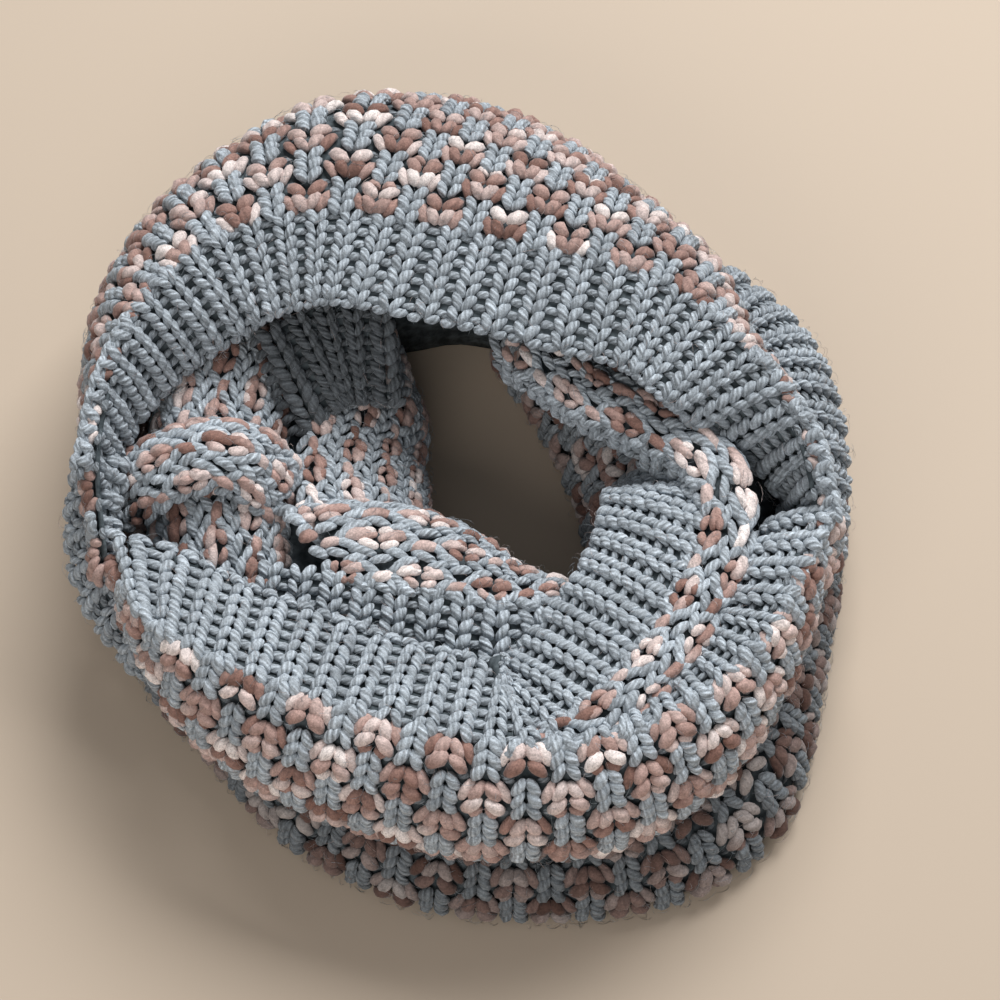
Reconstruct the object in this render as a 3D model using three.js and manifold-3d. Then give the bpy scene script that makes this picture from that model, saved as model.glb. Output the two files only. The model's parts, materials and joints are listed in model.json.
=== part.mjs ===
// Knitted infinity scarf, laid on a flat surface in two coils.
//
// The scarf is one wide knitted tube of cloth: a k1p1 rib along both edges and a two-colour
// body between them. Wound twice on itself it shows a number of stretches, and each stretch is
// one thin wall here. A stretch is a sheet swept along the line where its rib meets its body,
// the seam line. Its cross-section leaves the seam line at a given slope and curls over.
// What the coils hide is one rounded ring, hidden_layers, layered against all the rest.
//
// Millimetres, +Z up, x to the right and y away from the viewer. The scarf rests on z = 0.

import * as THREE from 'three';
import { mergeVertices } from 'three/addons/utils/BufferGeometryUtils.js';
import Module from 'manifold-3d';

const wasm = await Module();
wasm.setup();

// ---- driving dimensions -------------------------------------------------------------------
const CLOTH = 6;            // thickness of the chunky knit
const GAP = 0.35;           // clearance between stretches that touch
const STEPS_PER_ROW = 2;    // sections between two rows of a table
const CURL_STEPS = 24;      // small steps that add up a section's curl
const SLOPE_STEP = 0.02;    // how far along a table the seam line's direction is read
const FLOOR_SIZE = 600;     // block that trims the underside flat
const SLIVER = 1e-3;        // vertices nearer than this are one
// The middle of the scarf's outline, taken as x = 0, y = 0.
const MIDDLE = { x: 2.3, y: 7.7 };

const GREY_YARN = { color: 0x8a9899, roughness: 0.95, metalness: 0 };
const MIXED_YARNS = { color: 0xa8948e, roughness: 0.95, metalness: 0 };
const SHADED_YARN = { color: 0x5d6768, roughness: 0.95, metalness: 0 };

// ---- the stretches ------------------------------------------------------------------------
// Each row is one section. x, y, z: a point of the seam line. lean: how far the wales turn
// from square to the seam line. first, middle, last: slope of the cloth in degrees at the seam,
// half way and at the far edge, where 0 is level and -90 hangs down. reach: cloth across.
// Rows run anticlockwise. A stretch goes outward from its seam line, or inward into the coil.
const COLUMNS = ['x', 'y', 'z', 'lean', 'first', 'middle', 'last', 'reach'];

const OUTWARD = 1;
const INWARD = -1;

const STRETCHES = [
  {
    name: 'back_upper_rib', yarn: GREY_YARN, way: INWARD, across: 3,
    rows: [
      [124, -24, 78, 0, -85, -88, -90, 34],
      [119, 0, 87, -20, -50, -60, -80, 34],
      [109, 19, 92, -15, -14, -22, -30, 34],
      [94, 37, 94, -2, -6, -12, -20, 34],
      [70, 56, 95, 4, -4, -10, -18, 34],
      [32, 69, 94, 0, -4, -10, -18, 34],
      [-10, 80, 93, -4, -2, -8, -16, 34],
      [-48, 86, 93, -6, -2, -10, -18, 34],
      [-82, 76, 93, -6, -10, -24, -38, 34],
      [-106, 52, 92, -4, -34, -54, -68, 34],
      [-119, 22, 89, 0, -58, -76, -84, 34],
      [-124, -6, 84, 0, -65, -78, -85, 34],
    ],
  },
  {
    name: 'back_upper_body', yarn: MIXED_YARNS, way: OUTWARD, across: 6,
    rows: [
      [124, -24, 78, 0, -56, -90, -112, 50],
      [119, 0, 87, 5, -72, -92, -104, 46],
      [109, 19, 92, 5, -58, -86, -105, 52],
      [94, 37, 94, 8, -40, -76, -108, 62],
      [70, 56, 95, 6, -10, -60, -114, 92],
      [32, 69, 94, 0, 8, -46, -118, 112],
      [-10, 80, 93, -4, 12, -36, -122, 118],
      [-48, 86, 93, -6, 10, -38, -120, 112],
      [-82, 76, 93, -6, -4, -54, -112, 94],
      [-106, 52, 92, -4, -22, -70, -108, 78],
      [-119, 22, 89, 0, -50, -85, -106, 66],
      [-124, -6, 84, 0, -72, -92, -106, 54],
      [-122, -34, 66, 0, -75, -92, -106, 36],
    ],
  },
  {
    name: 'fold_strip_floats', yarn: MIXED_YARNS, way: OUTWARD, across: 4,
    rows: [
      [22, -102, 74, -20, 20, -20, -80, 12],
      [42, -92, 74, 0, 35, -10, -90, 21],
      [62, -69, 73, 0, 35, -10, -90, 24],
      [75, -46, 73, 0, 35, -10, -90, 24],
      [82, -26, 73, 0, 35, -10, -90, 24],
      [79, -7, 73, 20, 32, -10, -85, 27],
      [60, 7, 73, 30, 24, -8, -65, 32],
      [40, 18, 72, 24, 24, -8, -65, 33],
      [19, 38, 70, 20, 22, -8, -70, 33],
    ],
  },
  {
    name: 'front_upper_rib', yarn: GREY_YARN, way: INWARD, across: 3,
    rows: [
      [-104, -60, 75, 50, -10, -14, -18, 36],
      [-84, -75, 79, 22, -10, -16, -22, 36],
      [-58, -87, 80, 10, -10, -18, -24, 36],
      [-30, -97, 80, 2, -10, -20, -28, 36],
      [0, -105, 80, 0, -10, -20, -28, 36],
      [22, -106, 79, -4, -12, -22, -32, 36],
      [42, -92, 74, 4, -10, -20, -36, 37],
      [62, -68, 73, -6, -6, -16, -40, 38],
      [75, -44, 73, -14, -4, -16, -46, 38],
      [80, -18, 71, -22, -6, -24, -56, 38],
      [78, 0, 63, -24, -20, -50, -85, 36],
    ],
  },
  {
    name: 'right_upper_rib', yarn: GREY_YARN, way: INWARD, across: 3,
    rows: [
      [22, -108, 79, -30, -50, -70, -80, 34],
      [52, -103, 80, -20, -40, -62, -70, 34],
      [80, -89, 80, -6, -24, -48, -60, 34],
      [102, -68, 80, 8, -16, -36, -50, 34],
      [116, -42, 80, 14, -16, -30, -45, 34],
      [124, -24, 78, 10, -30, -45, -60, 30],
    ],
  },
  {
    name: 'front_upper_body', yarn: MIXED_YARNS, way: OUTWARD, across: 5,
    rows: [
      [-116, -38, 66, 0, -80, -95, -118, 42],
      [-104, -60, 75, 0, -62, -92, -120, 46],
      [-84, -75, 79, 0, -34, -78, -120, 54],
      [-58, -87, 80, 0, -20, -68, -122, 60],
      [-30, -97, 80, 0, -18, -66, -122, 62],
      [0, -106, 80, 0, -18, -66, -122, 62],
      [28, -108, 80, 0, -18, -66, -122, 62],
      [54, -103, 80, 0, -22, -68, -122, 62],
      [80, -90, 80, 0, -28, -74, -122, 58],
      [102, -68, 80, 0, -40, -84, -120, 52],
      [116, -42, 80, 0, -52, -90, -116, 50],
      [124, -24, 78, 0, -56, -90, -112, 50],
    ],
  },
  {
    name: 'left_lower_rib', yarn: GREY_YARN, way: INWARD, across: 4,
    rows: [
      [-133, 0, 60, 0, 80, 10, -80, 30],
      [-135, -16, 55, 0, 80, 10, -80, 30],
      [-133, -32, 50, 0, 80, 10, -80, 30],
      [-126, -48, 44, 0, 80, 10, -80, 30],
      [-114, -62, 38, 0, 80, 10, -80, 30],
    ],
  },
  {
    name: 'right_lower_rib', yarn: GREY_YARN, way: INWARD, across: 3,
    rows: [
      [136, -14, 32, 0, 70, 35, 0, 32],
      [139, 12, 32, 0, 70, 35, 0, 32],
      [138, 38, 33, 0, 70, 35, 0, 32],
      [132, 62, 34, 0, 70, 35, 0, 32],
      [120, 82, 34, 0, 70, 35, 0, 32],
      [104, 97, 34, 0, 70, 35, 0, 32],
    ],
  },
  {
    name: 'lower_front_body', yarn: MIXED_YARNS, way: OUTWARD, across: 4,
    rows: [
      [-106, -16, 38, 0, -20, -70, -98, 44],
      [-92, -42, 33, 0, -8, -55, -98, 42],
      [-73, -64, 30, 0, -8, -55, -98, 42],
      [-55, -85, 30, 0, -8, -55, -98, 42],
      [-40, -99, 30, 0, -8, -55, -98, 42],
      [-10, -114, 30, 0, -8, -55, -98, 42],
      [15, -118, 30, 0, -8, -55, -98, 42],
      [46, -117, 30, 0, -8, -52, -98, 42],
      [74, -109, 30, 0, -6, -50, -98, 43],
      [92, -94, 31, 0, -8, -52, -98, 44],
      [100, -70, 33, 0, -10, -55, -98, 46],
      [106, -40, 36, 0, -10, -58, -98, 49],
      [111, -8, 38, 0, -10, -58, -98, 51],
      [114, 18, 38, 0, -10, -58, -98, 51],
    ],
  },
  {
    name: 'inner_left_strap', yarn: MIXED_YARNS, way: OUTWARD, across: 4,
    rows: [
      [-63, -14, 38, 0, 60, 0, -60, 32],
      [-68, -12, 55, 0, 60, 0, -60, 32],
      [-80, -9, 66, 0, 60, 0, -60, 32],
      [-96, -11, 63, 0, 60, 0, -60, 32],
      [-108, -15, 53, 0, 60, 0, -60, 32],
    ],
  },
  {
    name: 'inner_left_floats', yarn: MIXED_YARNS, way: OUTWARD, across: 5,
    rows: [
      [-54, 64, 44, 0, 70, 0, -70, 62],
      [-60, 36, 44, 0, 70, 0, -70, 62],
      [-61, 8, 44, 0, 70, 0, -70, 62],
      [-59, -18, 40, 0, 65, 0, -65, 60],
      [-54, -42, 36, 0, 60, 0, -60, 58],
    ],
  },
  {
    name: 'inner_back_rib', yarn: SHADED_YARN, way: INWARD, across: 2,
    rows: [
      [-27, 65, 70, 0, -30, -38, -44, 38],
      [-40, 64, 72, 0, -30, -38, -44, 38],
      [-53, 60, 72, 0, -30, -38, -44, 38],
      [-66, 52, 70, 0, -30, -38, -44, 38],
    ],
  },
  {
    name: 'inner_front_floats', yarn: MIXED_YARNS, way: INWARD, across: 5,
    rows: [
      [-37, -40, 57, 30, 10, -12, -80, 46],
      [-27, -41, 58, 15, 10, -15, -80, 46],
      [-10, -43, 58, 0, 10, -25, -85, 46],
      [16, -47, 57, 0, 6, -40, -85, 40],
      [36, -44, 54, 0, -20, -60, -85, 36],
    ],
  },
  {
    name: 'inner_front_rib', yarn: GREY_YARN, way: OUTWARD, across: 2,
    rows: [
      [-64, -34, 56, 0, -10, -18, -20, 36],
      [-40, -38, 58, 0, -10, -18, -20, 36],
      [-10, -43, 58, 0, -10, -18, -20, 36],
      [16, -47, 57, 0, -10, -18, -20, 36],
      [36, -44, 54, 0, -10, -18, -20, 36],
    ],
  },
  {
    name: 'fold_strip_rib', yarn: SHADED_YARN, way: INWARD, across: 2,
    rows: [
      [80, -14, 69, 0, -80, -88, -92, 26],
      [77, -5, 70, 20, -80, -88, -92, 24],
      [59, 7, 70, 30, -80, -88, -92, 11],
      [39, 18, 69, 24, -80, -88, -92, 8],
      [19, 38, 68, 20, -80, -88, -92, 12],
    ],
  },
  {
    name: 'inner_left_wall', yarn: MIXED_YARNS, way: INWARD, across: 5,
    rows: [
      [-38, 70, 44, 0, -20, -62, -95, 46],
      [-44, 51, 44, 0, -8, -40, -95, 52],
      [-52, 28, 46, 0, 0, -30, -95, 58],
      [-54, 8, 48, 0, 0, -30, -95, 60],
      [-52, -12, 50, 0, 0, -30, -95, 58],
    ],
  },
  {
    name: 'inner_right_wall', yarn: MIXED_YARNS, way: OUTWARD, across: 4,
    rows: [
      [40, -26, 0, 0, 80, 60, 30, 50],
      [46, -7, 0, 0, 80, 60, 30, 60],
      [43, 13, 0, 0, 80, 60, 30, 60],
      [36, 34, 0, 0, 80, 60, 30, 60],
      [26, 55, 0, 0, 80, 60, 30, 60],
      [14, 74, 0, 0, 80, 60, 30, 56],
    ],
  },
  {
    name: 'lower_back_body', yarn: MIXED_YARNS, way: OUTWARD, across: 4,
    rows: [
      [115, 21, 37, 0, -10, -58, -98, 49],
      [116, 44, 35, 0, -10, -58, -98, 47],
      [110, 66, 33, 0, -10, -58, -98, 45],
      [94, 88, 32, 0, -10, -58, -98, 44],
      [68, 106, 32, 0, -10, -58, -98, 44],
      [34, 118, 32, 0, -10, -58, -98, 44],
      [-6, 124, 32, 0, -10, -58, -98, 44],
      [-44, 118, 32, 0, -10, -58, -98, 44],
      [-76, 100, 32, 0, -10, -58, -98, 44],
      [-98, 72, 33, 0, -10, -58, -98, 45],
      [-109, 38, 36, 0, -10, -60, -98, 48],
      [-112, 8, 38, 0, -14, -64, -98, 49],
      [-108, -13, 39, 0, -20, -70, -98, 48],
    ],
  },
];

// The ring of hidden layers: its wall toward the hole, its outer wall and its height, by angle.
const HIDDEN_COLUMNS = ['angle', 'inner', 'outer', 'height'];
const HIDDEN_ROWS = [
  [0, 56, 122, 50],
  [30, 58, 126, 54],
  [60, 76, 132, 62],
  [90, 84, 140, 68],
  [120, 80, 134, 64],
  [140, 60, 124, 52],
  [160, 32, 116, 42],
  [180, 24, 112, 40],
  [210, 24, 110, 42],
  [240, 26, 112, 46],
  [270, 28, 122, 48],
  [300, 34, 122, 48],
  [330, 46, 120, 48],
  [360, 56, 122, 50],
];
const HIDDEN_SECTIONS = 24;
const HIDDEN_ROUND = 7;    // points over the rounded top of a section

// ---- sheets -------------------------------------------------------------------------------

// A smooth row between the rows of a table, at place s counted in rows.
function rowAt(rows, s) {
  const last = rows.length - 1;
  const i = Math.min(Math.floor(s), last - 1);
  const t = s - i;
  const b = rows[i];
  const c = rows[i + 1];
  const a = i > 0 ? rows[i - 1] : b.map((value, k) => 2 * value - c[k]);
  const d = i + 2 <= last ? rows[i + 2] : c.map((value, k) => 2 * value - b[k]);
  return b.map((_, k) => 0.5 * (2 * b[k] + (c[k] - a[k]) * t
    + (2 * a[k] - 5 * b[k] + 4 * c[k] - d[k]) * t * t
    + (3 * b[k] - a[k] - 3 * c[k] + d[k]) * t * t * t));
}

function named(columns, row) {
  return Object.fromEntries(columns.map((column, k) => [column, row[k]]));
}

// The level direction that the cloth leaves the seam line in, at place s.
function wayAcross(stretch, s) {
  const last = stretch.rows.length - 1;
  const before = named(COLUMNS, rowAt(stretch.rows, Math.max(s - SLOPE_STEP, 0)));
  const after = named(COLUMNS, rowAt(stretch.rows, Math.min(s + SLOPE_STEP, last)));
  const lean = THREE.MathUtils.degToRad(named(COLUMNS, rowAt(stretch.rows, s)).lean);
  return new THREE.Vector3(after.y - before.y, before.x - after.x, 0)
    .normalize()
    .multiplyScalar(stretch.way)
    .applyAxisAngle(new THREE.Vector3(0, 0, 1), lean);
}

// Slope at share v of the reach: the smooth curve through its three given slopes.
function slopeAt(row, v) {
  const slope = row.first * (1 - v) * (1 - 2 * v)
    + row.middle * 4 * v * (1 - v)
    + row.last * v * (2 * v - 1);
  return THREE.MathUtils.degToRad(slope);
}

// One section of a stretch: points on its face from the seam line to the far edge.
function sectionAt(stretch, s) {
  const row = named(COLUMNS, rowAt(stretch.rows, s));
  const across = wayAcross(stretch, s);
  const steps = CURL_STEPS * stretch.across;
  const step = row.reach / steps;
  const point = new THREE.Vector3(row.x - MIDDLE.x, row.y - MIDDLE.y, row.z);
  const section = [point.clone()];
  for (let k = 1; k <= steps; k += 1) {
    const slope = slopeAt(row, (k - 0.5) / steps);
    point.addScaledVector(across, step * Math.cos(slope));
    point.z += step * Math.sin(slope);
    if (k % CURL_STEPS === 0) {
      section.push(point.clone());
    }
  }
  return section;
}

function sheetOf(stretch) {
  const sections = (stretch.rows.length - 1) * STEPS_PER_ROW;
  return Array.from({ length: sections + 1 }, (_, i) => sectionAt(stretch, i / STEPS_PER_ROW));
}

function difference(grid, i, j, di, dj) {
  const i0 = Math.max(i - di, 0);
  const j0 = Math.max(j - dj, 0);
  const i1 = Math.min(i + di, grid.length - 1);
  const j1 = Math.min(j + dj, grid[0].length - 1);
  return grid[i1][j1].clone().sub(grid[i0][j0]).normalize();
}

// A closed wall behind a sheet. Grown by more than 0 it is the space its neighbours leave.
function wallOf(stretch, grown) {
  const grid = sheetOf(stretch);
  const sections = grid.length;
  const points = grid[0].length;
  const positions = [];
  const push = (point) => positions.push(point.x, point.y, point.z);
  const faces = [grown, -CLOTH - grown];
  for (const depth of faces) {
    for (let i = 0; i < sections; i += 1) {
      for (let j = 0; j < points; j += 1) {
        const along = difference(grid, i, j, 1, 0);
        const across = difference(grid, i, j, 0, 1);
        const out = along.clone().cross(across).normalize().multiplyScalar(-stretch.way);
        const endward = (i === sections - 1) - (i === 0);
        const edgeward = (j === points - 1) - (j === 0);
        push(grid[i][j].clone()
          .addScaledVector(out, depth)
          .addScaledVector(along, endward * grown)
          .addScaledVector(across, edgeward * grown));
      }
    }
  }
  const at = (side, i, j) => (side * sections + i) * points + j;
  const triangles = [];
  const quad = (a, b, c, d) => {
    if (stretch.way === OUTWARD) {
      triangles.push(a, c, b, a, d, c);
    } else {
      triangles.push(a, b, c, a, c, d);
    }
  };
  for (let i = 0; i + 1 < sections; i += 1) {
    for (let j = 0; j + 1 < points; j += 1) {
      quad(at(0, i, j), at(0, i + 1, j), at(0, i + 1, j + 1), at(0, i, j + 1));
      quad(at(1, i, j), at(1, i, j + 1), at(1, i + 1, j + 1), at(1, i + 1, j));
    }
    const edge = points - 1;
    quad(at(0, i, 0), at(1, i, 0), at(1, i + 1, 0), at(0, i + 1, 0));
    quad(at(0, i, edge), at(0, i + 1, edge), at(1, i + 1, edge), at(1, i, edge));
  }
  const end = sections - 1;
  for (let j = 0; j + 1 < points; j += 1) {
    quad(at(0, 0, j), at(0, 0, j + 1), at(1, 0, j + 1), at(1, 0, j));
    quad(at(0, end, j), at(1, end, j), at(1, end, j + 1), at(0, end, j + 1));
  }
  return geometryOf(positions, triangles);
}

// The hidden ring: a flat underside, walls and a rounded top, closed on itself.
function hiddenRing() {
  const positions = [];
  const triangles = [];
  const count = HIDDEN_ROUND + 1;
  for (let i = 0; i < HIDDEN_SECTIONS; i += 1) {
    const s = (i / HIDDEN_SECTIONS) * (HIDDEN_ROWS.length - 1);
    const row = named(HIDDEN_COLUMNS, rowAt(HIDDEN_ROWS, s));
    const angle = THREE.MathUtils.degToRad(row.angle);
    const middle = (row.inner + row.outer) / 2;
    const half = (row.outer - row.inner) / 2;
    for (let k = 0; k < count; k += 1) {
      const turn = Math.PI * (1 - k / HIDDEN_ROUND);
      const radius = middle + half * Math.cos(turn);
      positions.push(radius * Math.cos(angle) - MIDDLE.x, radius * Math.sin(angle) - MIDDLE.y,
        row.height * Math.sqrt(Math.max(Math.sin(turn), 0)));
    }
    const next = (i + 1) % HIDDEN_SECTIONS;
    for (let k = 0; k < count; k += 1) {
      const up = (k + 1) % count;
      const a = i * count + k;
      const b = i * count + up;
      const c = next * count + up;
      const d = next * count + k;
      triangles.push(a, b, c, a, c, d);
    }
  }
  return geometryOf(positions, triangles);
}

function geometryOf(positions, triangles) {
  const geometry = new THREE.BufferGeometry();
  geometry.setAttribute('position', new THREE.Float32BufferAttribute(positions, 3));
  geometry.setIndex(triangles);
  return geometry;
}

// ---- solids -------------------------------------------------------------------------------

function solidOf(geometry) {
  const bare = geometry.clone();
  bare.deleteAttribute('normal');
  bare.deleteAttribute('uv');
  const merged = mergeVertices(bare, SLIVER);
  const mesh = new wasm.Mesh({
    numProp: 3,
    vertProperties: new Float32Array(merged.attributes.position.array),
    triVerts: new Uint32Array(merged.index.array),
  });
  return new wasm.Manifold(mesh);
}

function geometryFrom(solid) {
  const mesh = solid.getMesh();
  return geometryOf(Array.from(mesh.vertProperties), Array.from(mesh.triVerts));
}

// Cutting can leave crumbs, and the cloth is the largest piece.
function largest(solid) {
  return solid.decompose().reduce((a, b) => (b.volume() > a.volume() ? b : a));
}

const floor = new THREE.BoxGeometry(FLOOR_SIZE, FLOOR_SIZE, FLOOR_SIZE);
floor.translate(0, 0, -FLOOR_SIZE / 2);
const floorSolid = solidOf(floor);

// ---- the scarf ----------------------------------------------------------------------------
// Stretches are laid from the top of the pile down: each leaves clear what is laid before it.

const scarf = new THREE.Group();
let laid = floorSolid;

function lay(name, yarn, solid, room) {
  const cloth = largest(solid.subtract(laid));
  const mesh = new THREE.Mesh(geometryFrom(cloth), new THREE.MeshStandardMaterial(yarn));
  mesh.name = name;
  scarf.add(mesh);
  laid = laid.add(room).add(cloth);
}

for (const stretch of STRETCHES) {
  lay(stretch.name, stretch.yarn, solidOf(wallOf(stretch, 0)), solidOf(wallOf(stretch, GAP)));
}
const ring = solidOf(hiddenRing());
lay('hidden_layers', SHADED_YARN, ring, ring);

export default scarf;
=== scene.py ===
# A knitted infinity scarf, wound into two loose coils and laid on a floor.
#
# The cloth is hand knitted in two chunky yarns: a k1p1 rib in plain grey along both edges, and
# between them a body with rows of pink tulip stitches that stand between columns of grey knit.
# Each stretch of the coils that shows is its own piece: a thin ground cloth on the form of its
# CAD wall, with every stitch leg on it modelled as a plump length of yarn.
# Metres in the CAD frame: +Z up, x to the right and y away from the viewer.
import json
import math

import bmesh
import bpy
import numpy as np
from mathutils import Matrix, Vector

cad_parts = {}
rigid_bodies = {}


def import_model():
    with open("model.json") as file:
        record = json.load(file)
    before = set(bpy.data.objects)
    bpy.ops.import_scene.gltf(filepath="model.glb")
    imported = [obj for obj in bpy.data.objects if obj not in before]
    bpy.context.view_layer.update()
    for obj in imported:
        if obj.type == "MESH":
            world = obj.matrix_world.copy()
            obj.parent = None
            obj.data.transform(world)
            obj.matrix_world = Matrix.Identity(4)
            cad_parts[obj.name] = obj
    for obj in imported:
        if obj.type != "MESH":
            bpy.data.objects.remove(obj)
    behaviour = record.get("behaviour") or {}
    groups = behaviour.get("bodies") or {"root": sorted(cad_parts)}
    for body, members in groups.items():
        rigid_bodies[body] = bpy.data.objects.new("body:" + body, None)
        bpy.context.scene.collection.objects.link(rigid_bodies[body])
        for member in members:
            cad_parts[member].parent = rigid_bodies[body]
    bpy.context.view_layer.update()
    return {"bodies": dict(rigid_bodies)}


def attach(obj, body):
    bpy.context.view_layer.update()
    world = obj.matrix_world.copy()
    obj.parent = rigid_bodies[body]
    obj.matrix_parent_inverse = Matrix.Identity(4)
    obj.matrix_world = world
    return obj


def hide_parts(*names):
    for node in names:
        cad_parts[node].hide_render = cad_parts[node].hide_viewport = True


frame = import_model()
body = list(frame["bodies"])[0]
chance = np.random.default_rng(23)
MM = 0.001

# ---- the form of the cloth ----------------------------------------------------------------
# Each row is one section of a stretch, in millimetres and degrees: x, y, z of the seam line
# where rib meets body, how far the wales lean, the slope of the cloth at the seam, half way and
# at the far edge, and the cloth's reach across. A stretch goes outward from its seam line, or
# inward into the coil. The rows are those of the CAD walls.
OUTWARD = 1
INWARD = -1
MIDDLE = (2.3, 7.7, 0.0)  # the middle of the outline, where the frame's x and y are 0

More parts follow.
